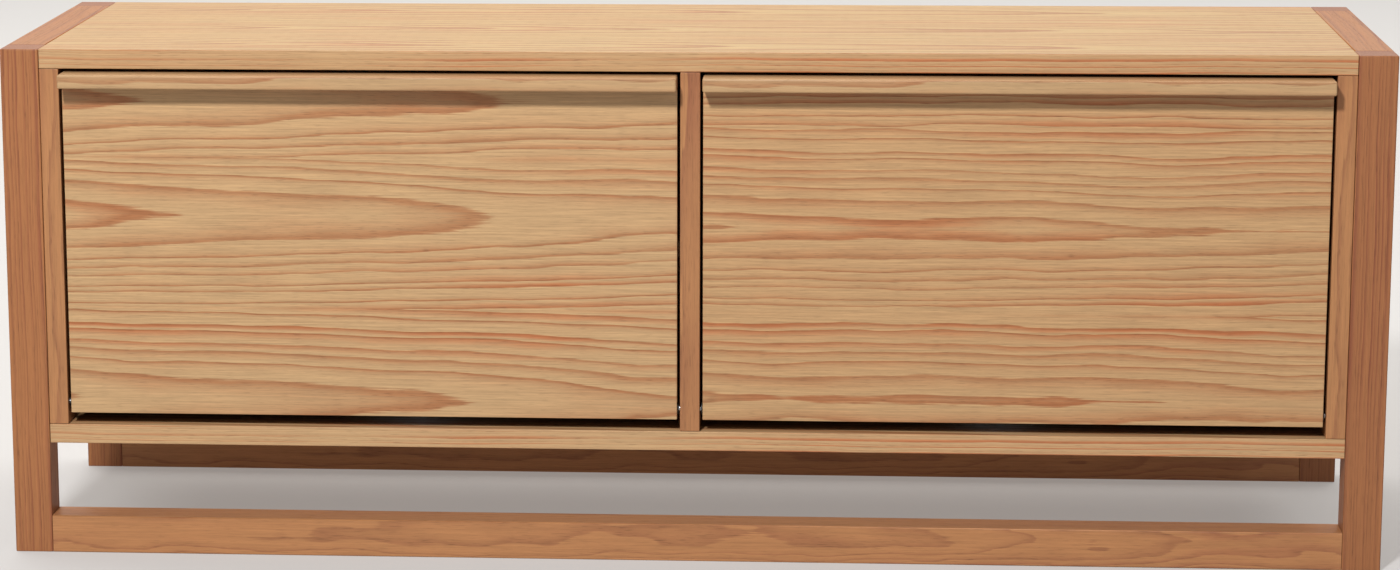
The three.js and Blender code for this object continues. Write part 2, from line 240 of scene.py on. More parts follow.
def eased_board(node, arris, material, lipping=None):
    """A board of the frame or carcass with its outer arrises rounded, as a sanded board has.

    A lipping is the material of its front edge.
    """
    bm = whole_mesh(node)
    low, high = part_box(node)
    arrises = [edge for edge in bm.edges if on_outside(edge, low, high)]
    rounded = bmesh.ops.bevel(
        bm, geom=arrises, offset=arris, offset_type="OFFSET", segments=4, profile=0.5,
        affect="EDGES", material=-1, clamp_overlap=True)
    for face in rounded["faces"]:
        face.smooth = True
    bmesh.ops.recalc_face_normals(bm, faces=bm.faces)
    if lipping:
        for face in bm.faces:
            face.material_index = int(face.calc_center_median().y < low.y + arris)
    piece = finish_piece(node + "_piece", bm, material, [node])
    if lipping:
        piece.data.materials.append(lipping)


def soften(bm, width, segments=2):
    """Round every sharp edge a little."""
    sharp = math.radians(30)
    edges = [edge for edge in bm.edges if len(edge.link_faces) == 2 and edge.calc_face_angle(0) > sharp]
    bmesh.ops.bevel(
        bm, geom=edges, offset=width, offset_type="OFFSET", segments=segments,
        profile=0.5, affect="EDGES", material=-1, clamp_overlap=True)


def turned(profile, centre, axis, sides=40, edge=0.2 * MM):
    """Turned piece from (distance along the axis, radius) points, with its edges rounded.

    A profile that never touches the axis closes on itself, which leaves a bore.
    """
    bm = bmesh.new()
    verts = [bm.verts.new((along, radius, 0)) for along, radius in profile]
    bored = all(radius > 0 for _, radius in profile)
    pairs = list(zip(verts, verts[1:])) + ([(verts[-1], verts[0])] if bored else [])
    edges = [bm.edges.new(pair) for pair in pairs]
    bmesh.ops.spin(
        bm, geom=verts + edges, cent=(0, 0, 0), axis=RIGHT, dvec=(0, 0, 0),
        angle=2 * math.pi, steps=sides, use_merge=True, use_duplicate=False)
    bmesh.ops.remove_doubles(bm, verts=bm.verts, dist=MERGE)
    bmesh.ops.recalc_face_normals(bm, faces=bm.faces)
    soften(bm, edge)
    # Faces that look along the axis are flat, and all others are turned.
    along_axis = 0.95
    for face in bm.faces:
        face.smooth = abs(face.normal.x) < along_axis
    turn = Vector(RIGHT).rotation_difference(Vector(axis)).to_matrix()
    bmesh.ops.rotate(bm, verts=bm.verts, cent=(0, 0, 0), matrix=turn)
    bmesh.ops.translate(bm, verts=bm.verts, vec=Vector(centre))
    return bm


def cuboid(low, high):
    """Bmesh of a box between two corners."""
    bm = bmesh.new()
    bmesh.ops.create_cube(bm, size=1)
    bmesh.ops.scale(bm, verts=bm.verts, vec=high - low)
    bmesh.ops.translate(bm, verts=bm.verts, vec=(low + high) / 2)
    return bm


# ---------------------------------------------------------------- materials


# Sockets of a colour Mix node by number, because they share their names with its other kinds' own.
SHARE, COLOUR_A, COLOUR_B, MIXED = 0, 6, 7, 2

# A noise texture mostly stays between the first and last of these.
NOISE_LOW, NOISE_MIDDLE, NOISE_HIGH = 0.3, 0.5, 0.7

# How porous and how red the wood of one ring is, from its inner side at 0 to its outer side at 1.
POROUS_SEASON = [(0.0, 0.0), (0.46, 0.05), (0.72, 0.35), (0.87, 1.0), (0.95, 0.9), (1.0, 0.0)]
RED_SEASON = [(0.0, 0.0), (0.3, 0.15), (0.62, 0.75), (0.93, 1.0), (1.0, 0.0)]


def add_node(tree, kind, links=None, **settings):
    """Add a shader node with its settings, and link or set its inputs."""
    made = tree.nodes.new(kind)
    for name, value in settings.items():
        setattr(made, name, value)
    for key, value in (links or {}).items():
        socket = made.inputs[key]
        if isinstance(value, bpy.types.NodeSocket):
            tree.links.new(value, socket)
        else:
            socket.default_value = value
    return made


def new_material(name):
    """Empty material with a Principled surface. Gives the material, its tree and the surface."""
    material = bpy.data.materials.new(name)
    material.use_nodes = True
    tree = material.node_tree
    tree.nodes.clear()
    surface = add_node(tree, "ShaderNodeBsdfPrincipled")
    add_node(tree, "ShaderNodeOutputMaterial", {"Surface": surface.outputs["BSDF"]})
    return material, tree, surface


def set_ramp(node, stops):
    """Give a colour ramp these (place, grey) stops, the first of which is at 0."""
    ramp = node.color_ramp
    while len(ramp.elements) > 1:
        ramp.elements.remove(ramp.elements[-1])
    for place, grey in stops:
        stop = ramp.elements.new(place) if place else ramp.elements[0]
        stop.color = (grey, grey, grey, 1)


def oak_growth():
    """Node group of oak as it grows round its pith, which lies along X through the origin.

    Both vectors are in metres with the grain along X: Point is measured from the pith, and Place
    sets where the log's own irregularities fall. Ring is the mean width of a year, and Wander how
    far the rings sway. Lines is the porous early wood of each ring, Blush the redder rings, Streak
    the fine drawn-out fibres and Pores the open vessels.
    """
    tree = bpy.data.node_groups.new("Oak growth", "ShaderNodeTree")
    face = tree.interface
    for name in ("Point", "Place"):
        face.new_socket(name, in_out="INPUT", socket_type="NodeSocketVector")
    for name in ("Ring", "Wander"):
        face.new_socket(name, in_out="INPUT", socket_type="NodeSocketFloat")
    for name in ("Lines", "Blush", "Streak", "Pores"):
        face.new_socket(name, in_out="OUTPUT", socket_type="NodeSocketFloat")
    source = add_node(tree, "NodeGroupInput")
    point, place, ring, wander = (source.outputs[n] for n in ("Point", "Place", "Ring", "Wander"))

    def drawn_out(length, width, detail=2.0, rough=0.5):
        """Noise with cells of this length along the grain and this width across it."""
        scale = (1 / length, 1 / width, 1 / width)
        stretched = add_node(tree, "ShaderNodeVectorMath", {0: place, 1: scale}, operation="MULTIPLY")
        noise = add_node(tree, "ShaderNodeTexNoise", {
            "Vector": stretched.outputs[0], "Scale": 1.0, "Detail": detail, "Roughness": rough})
        return noise.outputs["Fac"]

    # The stem sways over half a metre, its rings ripple over a few centimetres.
    stem = drawn_out(384.6 * MM, 200 * MM, detail=1.0)
    ripples = drawn_out(111.1 * MM, 29.41 * MM)
    ripple_share = 0.36
    across = add_node(tree, "ShaderNodeVectorMath", {0: point, 1: (0, 1, 1)}, operation="MULTIPLY")
    radius = add_node(tree, "ShaderNodeVectorMath", {0: across.outputs[0]}, operation="LENGTH")
    sway = add_node(tree, "ShaderNodeMath", {0: stem, 1: NOISE_MIDDLE}, operation="SUBTRACT")
    swayed = add_node(tree, "ShaderNodeMath", {
        0: sway.outputs[0], 1: wander, 2: radius.outputs["Value"]}, operation="MULTIPLY_ADD")
    ripple = add_node(tree, "ShaderNodeMath", {0: ripples, 1: NOISE_MIDDLE}, operation="SUBTRACT")
    ripple_size = add_node(tree, "ShaderNodeMath", {0: wander, 1: ripple_share}, operation="MULTIPLY")
    rippled = add_node(tree, "ShaderNodeMath", {
        0: ripple.outputs[0], 1: ripple_size.outputs[0], 2: swayed.outputs[0]}, operation="MULTIPLY_ADD")
    even = add_node(tree, "ShaderNodeMath", {0: rippled.outputs[0], 1: ring}, operation="DIVIDE")

    # Good years and lean years: rings are not evenly wide, and change over about two years.
    change_over, change = 0.55, 1.3
    years = add_node(tree, "ShaderNodeTexNoise", {
        "W": even.outputs[0], "Scale": change_over, "Detail": 1.0}, noise_dimensions="1D")
    uneven = add_node(tree, "ShaderNodeMath", {
        0: years.outputs["Fac"], 1: change, 2: even.outputs[0]}, operation="MULTIPLY_ADD")

    # Fibres are drawn one or two millimetres wide and several centimetres long, and fray each ring
    # by a part of its width.
    streak = drawn_out(83.33 * MM, 1.923 * MM, detail=4.0, rough=0.7)
    fray_depth = 0.32
    fray = add_node(tree, "ShaderNodeMath", {0: streak, 1: NOISE_MIDDLE}, operation="SUBTRACT")
    count = add_node(tree, "ShaderNodeMath", {
        0: fray.outputs[0], 1: fray_depth, 2: uneven.outputs[0]}, operation="MULTIPLY_ADD")
    year = add_node(tree, "ShaderNodeMath", {0: count.outputs[0]}, operation="FLOOR").outputs[0]
    season = add_node(tree, "ShaderNodeMath", {0: count.outputs[0]}, operation="FRACT").outputs[0]

    # Some years' lines are weaker than others', and every line is weaker in some places.
    weakest_year, weakest_place = 0.65, 0.8
    porous = add_node(tree, "ShaderNodeValToRGB", {"Fac": season})
    set_ramp(porous, POROUS_SEASON)
    vigour = add_node(tree, "ShaderNodeTexWhiteNoise", {"W": year}, noise_dimensions="1D")
    strength = add_node(tree, "ShaderNodeMapRange", {
        "Value": vigour.outputs["Value"], "To Min": weakest_year, "To Max": 1.0})
    patch = add_node(tree, "ShaderNodeMapRange", {
        "Value": drawn_out(200 * MM, 38.46 * MM), "From Min": 0.3, "From Max": 0.58,
        "To Min": weakest_place, "To Max": 1.0})
    depth = add_node(tree, "ShaderNodeMath", {
        0: strength.outputs[0], 1: patch.outputs[0]}, operation="MULTIPLY")
    lines = add_node(tree, "ShaderNodeMath", {
        0: porous.outputs["Color"], 1: depth.outputs[0]}, operation="MULTIPLY")

    # The redder years are drawn apart from the strong ones, so that the two don't go together.
    other_draw = 0.37
    flush = add_node(tree, "ShaderNodeValToRGB", {"Fac": season})
    set_ramp(flush, RED_SEASON)
    other = add_node(tree, "ShaderNodeMath", {0: year, 1: other_draw}, operation="ADD")
    warm_year = add_node(tree, "ShaderNodeTexWhiteNoise", {"W": other.outputs[0]}, noise_dimensions="1D")
    warm_place = add_node(tree, "ShaderNodeMapRange", {
        "Value": drawn_out(285.7 * MM, 83.33 * MM), "From Min": 0.38, "From Max": 0.62})
    warmth = add_node(tree, "ShaderNodeMath", {
        0: warm_year.outputs["Value"], 1: warm_place.outputs[0]}, operation="MULTIPLY")
    blush = add_node(tree, "ShaderNodeMath", {
        0: flush.outputs["Color"], 1: warmth.outputs[0]}, operation="MULTIPLY")

    # Pores are 0.3 mm wide on the real wood, and drawn 0.9 mm wide so that they show. Those in the
    # late wood are fainter.
    faint = 0.45
    vessels = drawn_out(13.33 * MM, 0.8696 * MM, detail=1.0, rough=0.4)
    pore = add_node(tree, "ShaderNodeMapRange", {"Value": vessels, "From Min": 0.56, "From Max": 0.72})
    in_porous = add_node(tree, "ShaderNodeMapRange", {
        "Value": porous.outputs["Color"], "From Max": 0.8, "To Min": faint, "To Max": 1.0})
    pores = add_node(tree, "ShaderNodeMath", {
        0: pore.outputs[0], 1: in_porous.outputs[0]}, operation="MULTIPLY")
    add_node(tree, "NodeGroupOutput", {
        "Lines": lines.outputs[0], "Blush": blush.outputs[0], "Streak": streak, "Pores": pores.outputs[0]})


def grain_place(tree, along, face, heart):
    """Object coordinates turned so that the grain runs along X and the board's face looks along Z.

    The heart is the point of the cabinet's frame where the grain has its own origin.
    """
    along, face = Vector(along), Vector(face)
    turn = Matrix((along, face.cross(along), face))
    place = add_node(tree, "ShaderNodeTexCoord").outputs["Object"]
    mapping = add_node(tree, "ShaderNodeMapping", {
        "Vector": place,
        "Location": -(turn @ Vector(heart)),
        "Rotation": turn.to_euler("XYZ"),
    }, vector_type="POINT")
    return mapping.outputs["Vector"]


def tinted(colours, tint):
    """Each colour times the tint of one board, because no two boards have the same tone; the right post's darker
    tint also holds painted shade.
    """
    return [[c * t for c, t in zip(colour, tint)] for colour in colours]


def oak_surface(tree, surface, growth, colours, line_depth, streak_depth, end_grain=None):
    """Colour, roughness and bump of lacquered oak from its growth."""
    plain, line, blush = ((*colour, 1) for colour in colours)
    blush_gain, pore_shade, cut_end = 1.3, 0.72, (0.86, 0.82, 0.8, 1)
    lacquer_rough, pore_rough, lacquer_relief = 0.5, 0.66, 0.08 * MM
    share = add_node(tree, "ShaderNodeMath", {
        0: growth.outputs["Lines"], 1: line_depth}, operation="MULTIPLY")
    warm = add_node(tree, "ShaderNodeMath", {
        0: growth.outputs["Blush"], 1: blush_gain}, operation="MULTIPLY", use_clamp=True)
    late = add_node(tree, "ShaderNodeMix", {
        SHARE: warm.outputs[0], COLOUR_A: plain, COLOUR_B: blush}, data_type="RGBA")
    rings = add_node(tree, "ShaderNodeMix", {
        SHARE: share.outputs[0], COLOUR_A: late.outputs[MIXED], COLOUR_B: line}, data_type="RGBA")
    fibre = add_node(tree, "ShaderNodeMapRange", {
        "Value": growth.outputs["Streak"], "From Min": NOISE_LOW, "From Max": NOISE_HIGH,
        "To Min": 1 - streak_depth, "To Max": 1 + streak_depth})
    pore = add_node(tree, "ShaderNodeMapRange", {
        "Value": growth.outputs["Pores"], "To Min": 1.0, "To Max": pore_shade})
    shade = add_node(tree, "ShaderNodeMath", {0: fibre.outputs[0], 1: pore.outputs[0]}, operation="MULTIPLY")
    body = add_node(tree, "ShaderNodeMix", {
        SHARE: 1.0, COLOUR_A: rings.outputs[MIXED], COLOUR_B: shade.outputs[0],
    }, data_type="RGBA", blend_type="MULTIPLY")
    if end_grain is not None:
        # Cut ends drink more of the lacquer and stay darker.
        body = add_node(tree, "ShaderNodeMix", {
            SHARE: end_grain, COLOUR_A: body.outputs[MIXED], COLOUR_B: cut_end,
        }, data_type="RGBA", blend_type="MULTIPLY")
    tree.links.new(body.outputs[MIXED], surface.inputs["Base Color"])
    rough = add_node(tree, "ShaderNodeMapRange", {
        "Value": growth.outputs["Pores"], "To Min": lacquer_rough, "To Max": pore_rough})
    tree.links.new(rough.outputs[0], surface.inputs["Roughness"])
    height = add_node(tree, "ShaderNodeMath", {
        0: growth.outputs["Pores"], 1: -1.0, 2: share.outputs[0]}, operation="MULTIPLY_ADD")
    bump = add_node(tree, "ShaderNodeBump", {
        "Strength": 0.35, "Distance": lacquer_relief, "Height": height.outputs[0]})
    tree.links.new(bump.outputs["Normal"], surface.inputs["Normal"])


def satin_lacquer(surface, coat):
    """Satin lacquer: a thin skin that gives oak a soft, wide sheen and no clear reflection."""
    surface.inputs["Specular IOR Level"].default_value = 0.3
    surface.inputs["Coat Weight"].default_value = coat
    surface.inputs["Coat Roughness"].default_value = 0.35


def crown_cut_veneer(name, along, face, heart, leaf, taper=0.025, ring=7.5 * MM, wander=13 * MM,
                     flame_point=6 * MM, line_depth=0.9, tint=(1, 1, 1)):
    """Crown-cut oak veneer under satin lacquer: flames up the middle of each leaf, straight lines
    at its sides.

    A leaf is its width and the place of its crown. Leaves are book-matched, so each is the mirror
    image of the next. The log narrows by its taper, which closes the flames.
    """
    material, tree, surface = new_material(name)
    width, crown = leaf
    pith_depth = 60 * MM
    point = grain_place(tree, along, face, heart)
    parts = add_node(tree, "ShaderNodeSeparateXYZ", {0: point})
    matched = add_node(tree, "ShaderNodeMath", {0: parts.outputs["Y"], 1: width}, operation="PINGPONG")
    off_crown = add_node(tree, "ShaderNodeMath", {0: matched.outputs[0], 1: crown}, operation="SUBTRACT")
    # Setting the two halves of the crown apart by flame_point draws its flames to a point.
    half = add_node(tree, "ShaderNodeMath", {0: off_crown.outputs[0]}, operation="ABSOLUTE")
    side = add_node(tree, "ShaderNodeMath", {0: half.outputs[0], 1: flame_point}, operation="ADD")
    lean = add_node(tree, "ShaderNodeMath", {
        0: parts.outputs["X"], 1: taper, 2: pith_depth}, operation="MULTIPLY_ADD")
    down = add_node(tree, "ShaderNodeMath", {0: parts.outputs["Z"], 1: lean.outputs[0]}, operation="ADD")
    grown = add_node(tree, "ShaderNodeCombineXYZ", {
        "X": parts.outputs["X"], "Y": side.outputs[0], "Z": down.outputs[0]})
    growth = add_node(tree, "ShaderNodeGroup", {
        "Point": grown.outputs[0], "Place": point, "Ring": ring, "Wander": wander,
    }, node_tree=bpy.data.node_groups["Oak growth"])
    wood = bpy.context.scene.cabinet_wood
    colours = tinted((wood.veneer, wood.veneer_line, wood.veneer_blush), tint)
    oak_surface(tree, surface, growth, colours, line_depth, streak_depth=0.22)
    satin_lacquer(surface, coat=0.06)
    return material


def solid_oak(board, along, face, heart, ring=3.4 * MM, wander=9 * MM, tint=(1, 1, 1), line_depth=0.5,
              pale=False):
    """Straight-grained solid oak under satin lacquer: fine lines along it, arcs of rings and
    darker wood on its ends. Pale wood is that of the pulls and lippings, picked to suit the veneer.
    """
    material, tree, surface = new_material("Solid oak, " + board.replace("_", " "))
    point = grain_place(tree, along, face, heart)
    growth = add_node(tree, "ShaderNodeGroup", {
        "Point": point, "Place": point, "Ring": ring, "Wander": wander,
    }, node_tree=bpy.data.node_groups["Oak growth"])
    low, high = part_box(board)
    half_length = abs(Vector(along).dot(high - low)) / 2
    # The end grain starts this far in from the cut.
    cut = 0.3 * MM
    parts = add_node(tree, "ShaderNodeSeparateXYZ", {0: point})
    off_middle = add_node(tree, "ShaderNodeMath", {0: parts.outputs["X"]}, operation="ABSOLUTE")
    on_end = add_node(tree, "ShaderNodeMath", {
        0: off_middle.outputs[0], 1: half_length - cut}, operation="GREATER_THAN")
    wood = bpy.context.scene.cabinet_wood
    palette = (wood.veneer, wood.veneer_line, wood.veneer_blush) if pale else (
        wood.solid, wood.solid_line, wood.solid_blush)
    oak_surface(
        tree, surface, growth, tinted(palette, tint), line_depth, streak_depth=0.14,
        end_grain=on_end.outputs[0])
    satin_lacquer(surface, coat=0.05)
    return material


def speckled(tree, size, low, high, detail=2.0):
    """Value that varies between low and high over the piece, in specks of this size."""
    place = add_node(tree, "ShaderNodeTexCoord")
    noise = add_node(tree, "ShaderNodeTexNoise", {
        "Vector": place.outputs["Object"], "Scale": 1 / size, "Detail": detail})
    return add_node(tree, "ShaderNodeMapRange", {
        "Value": noise.outputs["Fac"], "From Min": NOISE_LOW, "From Max": NOISE_HIGH,
        "To Min": low, "To Max": high}).outputs[0]


def zinc_plated_steel():
    """Bright zinc plating over turned steel: a grey metal with faint cloudy roughness."""
    _, tree, surface = new_material("Zinc plated steel")
    zinc = (*bpy.context.scene.cabinet_hardware.zinc, 1)
    tone = add_node(tree, "ShaderNodeMix", {
        SHARE: 1.0, COLOUR_A: zinc, COLOUR_B: speckled(tree, 2.5 * MM, 0.9, 1.0),
    }, data_type="RGBA", blend_type="MULTIPLY")
    tree.links.new(tone.outputs[MIXED], surface.inputs["Base Color"])
    surface.inputs["Metallic"].default_value = 1.0
    tree.links.new(speckled(tree, 1.1 * MM, 0.24, 0.4), surface.inputs["Roughness"])


def black_coated_steel():
    """Electro-coated black steel: nearly black, smooth, with a soft sheen and a fine skin."""
    _, tree, surface = new_material("Black coated steel")
    black = (*bpy.context.scene.cabinet_hardware.black_coat, 1)
    tone = add_node(tree, "ShaderNodeMix", {
        SHARE: 1.0, COLOUR_A: black, COLOUR_B: speckled(tree, 3.33 * MM, 0.85, 1.15),
    }, data_type="RGBA", blend_type="MULTIPLY")
    tree.links.new(tone.outputs[MIXED], surface.inputs["Base Color"])
    tree.links.new(speckled(tree, 0.667 * MM, 0.34, 0.48), surface.inputs["Roughness"])
    skin = speckled(tree, 0.4 * MM, 0.0, 1.0, detail=1.0)
    bump = add_node(tree, "ShaderNodeBump", {"Strength": 0.2, "Distance": 0.05 * MM, "Height": skin})
    tree.links.new(bump.outputs["Normal"], surface.inputs["Normal"])


def moulded_plastic(name, colour, roughness):
    """Injection moulded plastic: an even colour with the fine spark texture of the mould."""
    _, tree, surface = new_material(name)
    uneven = 0.05
    tone = add_node(tree, "ShaderNodeMix", {
        SHARE: 1.0, COLOUR_A: (*colour, 1), COLOUR_B: speckled(tree, 8.33 * MM, 0.94, 1.04),
    }, data_type="RGBA", blend_type="MULTIPLY")
    tree.links.new(tone.outputs[MIXED], surface.inputs["Base Color"])
    rough = speckled(tree, 1.25 * MM, roughness - uneven, roughness + uneven)
    tree.links.new(rough, surface.inputs["Roughness"])
    spark = speckled(tree, 0.556 * MM, 0.0, 1.0, detail=1.0)
    bump = add_node(tree, "ShaderNodeBump", {"Strength": 0.25, "Distance": 0.05 * MM, "Height": spark})
    tree.links.new(bump.outputs["Normal"], surface.inputs["Normal"])


# ---------------------------------------------------------------- the pieces


def bay_side(bay, end):
    """X of the side of a bay and the direction into the bay from it."""
    inward = 1 if end == "left" else -1
    if bay == "left":
        node = "left_side_panel" if end == "left" else "centre_divider"
    else:
        node = "centre_divider" if end == "left" else "right_side_panel"
    low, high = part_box(node)
    return (high.x if inward > 0 else low.x), inward


def build_end_frames(wood):
    """Posts and rails of square solid oak."""
    # The right post's tint is darker partly for its own tone and partly as painted shade, where the key light from
    # the left falls off.
    post_tone_and_shade = {"left": (0.96, 0.93, 0.9), "right": (0.88, 0.83, 0.83)}
    top_rail_tint = (0.98, 0.92, 0.62)
    base_rail_tint = (1.16, 1.28, 1.36)
    for side in ENDS:
        # The pith lay well outside each post, so its rings cross the end as flat arcs.
        outward = -1 if side == "left" else 1
        pith = Vector((outward * 62 * MM, 40 * MM, 0))
        for end in ("front", "back"):
            node = f"{end}_{side}_post"
            material = solid_oak(node, UP, FRONT, middle(node) + pith, tint=post_tone_and_shade[side])
            eased_board(node, wood.frame_arris, material)
        node = f"{side}_top_rail"
        pith = Vector((45 * MM, 0, -60 * MM))
        material = solid_oak(node, BACK, UP, middle(node) + pith, tint=top_rail_tint)
        eased_board(node, wood.frame_arris, material)
    for end in ("front", "back"):
        node = f"{end}_base_rail"
        # Cut nearly flat: the rings run out through the face in long slanting lines.
        pith = Vector((0, 22 * MM, 8 * MM))
        material = solid_oak(
            node, RIGHT, FRONT, middle(node) + pith, 4.2 * MM, wander=30 * MM, tint=base_rail_tint)
        eased_board(node, wood.frame_arris, material)


def front_lipping(node):
    """Solid strip glued along the front edge of a veneered panel, with a finer grain than its face."""
    low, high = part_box(node)
    heart = ((low.x + high.x) / 2, low.y + 45 * MM, high.z + 60 * MM)
    return solid_oak(
        node, RIGHT, FRONT, heart, 2.8 * MM, tint=(1.02, 1.02, 1.03), line_depth=0.32, pale=True)


def upper_face(node):
    """Middle of a board's upper face."""
    centre = middle(node)
    return Vector((centre.x, centre.y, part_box(node)[1].z))


def build_carcass(wood):
    """Veneered panels with solid lippings."""
    leaf = (150 * MM, 80 * MM)
    figures = {"top": {"line_depth": 1.0, "tint": (1.0, 1.03, 0.86)}, "bottom": {}}
    # How far behind a panel's middle its leaves are laid out from.
    crown_offset = {"top": 60 * MM, "bottom": 0}
    for name, figure in figures.items():
        node = f"{name}_panel"
        heart = upper_face(node) + Vector((0, crown_offset[name], 0))
        material = crown_cut_veneer(f"Oak veneer, {name}", RIGHT, UP, heart, leaf, **figure)
        eased_board(node, wood.panel_arris, material, front_lipping(node))
    upright_tint = (1.08, 1.2, 1.28)
    for node in ("left_side_panel", "right_side_panel", "centre_divider"):
        pith = Vector((30 * MM, 0, 0))
        material = solid_oak(node, UP, FRONT, middle(node) + pith, tint=upright_tint)
        eased_board(node, wood.panel_arris, material)
    node = "back_panel"
    leaf = (160 * MM, 90 * MM)
    material = crown_cut_veneer("Oak veneer, back", RIGHT, FRONT, middle(node), leaf)
    eased_board(node, wood.panel_arris / 2, material)


def build_shelves(wood, zinc):
    """Shelves on turned pins."""
    leaf = (150 * MM, 70 * MM)
    for bay in BAYS:
        node = f"{bay}_shelf"
        material = crown_cut_veneer(f"Oak veneer, {bay} shelf", RIGHT, UP, upper_face(node), leaf)
        eased_board(node, wood.panel_arris, material)
        for place in ("front", "rear"):
            for end in ENDS:
                node = f"{bay}_shelf_pin_{place}_{end}"
                low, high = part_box(node)
                radius = (high.z - low.z) / 2
                half = (high.x - low.x) / 2
                profile = [(-half, 0), (-half, radius), (half, radius), (half, 0)]
                bm = turned(profile, middle(node), RIGHT, sides=24, edge=0.4 * MM)
                finish_piece(node + "_piece", bm, zinc, [node])


def build_flaps(wood):
    """Veneered flaps with a solid pull strip along the top."""
    # The left leaves have broad flames. The right ones were cut from a log that hardly tapers, so
    # their lines run nearly straight.
    figures = {
        "left": {"leaf": (155 * MM, 96 * MM)},
        "right": {"leaf": (190 * MM, 88 * MM), "taper": 0.008, "wander": 20 * MM, "ring": 8.5 * MM,
                  "flame_point": 24 * MM, "line_depth": 0.8, "tint": (0.97, 0.93, 0.9)},
    }
    # How far left of a flap's middle, and how high, the log's pith is at its nominal depth. It is
    # deeper to the right of that, where the flames point.
    heart_left, heart_height = 270 * MM, 260 * MM
    pull_tint = (0.93, 0.93, 0.94)
    for bay in BAYS:
        node = f"{bay}_flap_panel"
        heart = (middle(node).x - heart_left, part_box(node)[0].y, heart_height)
        material = crown_cut_veneer(f"Oak veneer, {bay} flap", RIGHT, FRONT, heart, **figures[bay])
        eased_board(node, wood.panel_arris, material)
        node = f"{bay}_flap_pull"
        pith = Vector((0, 40 * MM, 12 * MM))
        material = solid_oak(
            node, RIGHT, FRONT, middle(node) + pith, line_depth=0.75, tint=pull_tint, pale=True)
        eased_board(node, wood.pull_arris, material)


def build_pivots(hardware, zinc, nylon):
    """Steel pins that turn in flanged nylon bushes."""
    rim = 1 * MM
    bore, sleeve = hardware.bush_bore, hardware.bush_radius
    for bay in BAYS:
        for end in ENDS:
            x, inward = bay_side(bay, end)
            node = f"{bay}_flap_{end}_pivot_pin"
            low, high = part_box(node)
            centre = middle(node)
            half, radius = (high.x - low.x) / 2, hardware.pin_radius
            bm = turned([(-half, 0), (-half, radius), (half, radius), (half, 0)], centre, RIGHT)
            finish_piece(node + "_piece", bm, zinc, [node])
            node = f"{bay}_flap_{end}_pivot_bush"
            low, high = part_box(node)
            near = abs((low.x if inward > 0 else high.x) - x)
            far, flange = near + high.x - low.x, (high.z - low.z) / 2
            profile = [(near, bore), (near, flange), (near + rim, flange), (near + rim, sleeve),
                       (far, sleeve), (far, bore)]
            bm = turned(profile, (x, centre.y, centre.z), (inward, 0, 0))
            finish_piece(node + "_piece", bm, nylon, [node])


def stadium(bm, start, stop, radius, x):
    """Corners of a long hole or bar with round ends, in the plane at x, in order."""
    steps = 16
    along = (stop - start).normalized()
    across = Vector((0, -along.z, along.y))
    verts = []
    for centre, first in ((stop, -math.pi / 2), (start, math.pi / 2)):
        for step in range(steps + 1):
            angle = first + math.pi * step / steps
            offset = along * math.cos(angle) + across * math.sin(angle)
            verts.append(bm.verts.new(Vector((x, 0, 0)) + centre + offset * radius))
    return verts


def build_stays(hardware, zinc, black):
    """Slotted stays: bracket, rivet, bar and stud at each end of a flap."""
    hinges = {joint["child"]: joint for joint in frame["joints"]}
    for bay in BAYS:
        for end in ENDS:
            label = f"{bay}_flap_{end}"
            x, inward = bay_side(bay, end)
            build_bar(label, hinges[f"{bay}_flap"], hardware, black)
            build_stud(label, x, inward, hardware, zinc)
            build_rivet(label, x, inward, hardware, zinc)
            build_bracket(label, inward, black, zinc)


def build_bar(label, hinge, hardware, black):
    """Flat bar with a round end hole and a slot as long as the stud's travel."""
    node = f"{label}_stay_bar"
    low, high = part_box(node)
    # Everything is measured in the plane of the bar, which has no X.
    flat = Vector((0, 1, 1))
    pivot = Vector(hinge["pos_m"]) * flat
    rivet = middle(f"{label}_stay_rivet") * flat
    stud = middle(f"{label}_stay_stud") * flat
    arm = (rivet - pivot).length
    along = (stud - rivet).normalized()
    # The stud is this far from the rivet with the flap closed, and then with it open.
    closed = (stud - rivet).length
    spread = 2 * math.asin(closed / 2 / arm) + math.radians(hinge["range_deg"][1])
    opened = 2 * arm * math.sin(spread / 2)
    slack = hardware.slot_width / 2 - hardware.pin_radius
    near, far = rivet + along * (closed - slack), rivet + along * (opened + slack)
    bm = bmesh.new()
    outer = stadium(bm, rivet, far, hardware.bar_width / 2, low.x)
    slot = stadium(bm, near, far, hardware.slot_width / 2, low.x)
    hole = stadium(bm, rivet, rivet + along * MERGE, hardware.bush_bore, low.x)
    edges = []
    for ring in (outer, slot, hole):
        edges += [bm.edges.new((a, b)) for a, b in zip(ring, ring[1:] + ring[:1])]
    bmesh.ops.triangle_fill(bm, use_beauty=True, use_dissolve=False, edges=edges)
    bmesh.ops.dissolve_limit(bm, angle_limit=FLAT, verts=bm.verts, edges=bm.edges)
    lifted = bmesh.ops.extrude_face_region(bm, geom=bm.faces[:])
    verts = [item for item in lifted["geom"] if isinstance(item, bmesh.types.BMVert)]
    bmesh.ops.translate(bm, verts=verts, vec=(high.x - low.x, 0, 0))
    bmesh.ops.recalc_face_normals(bm, faces=bm.faces)
    soften(bm, 0.3 * MM)
    finish_piece(node + "_piece", bm, black, [node])


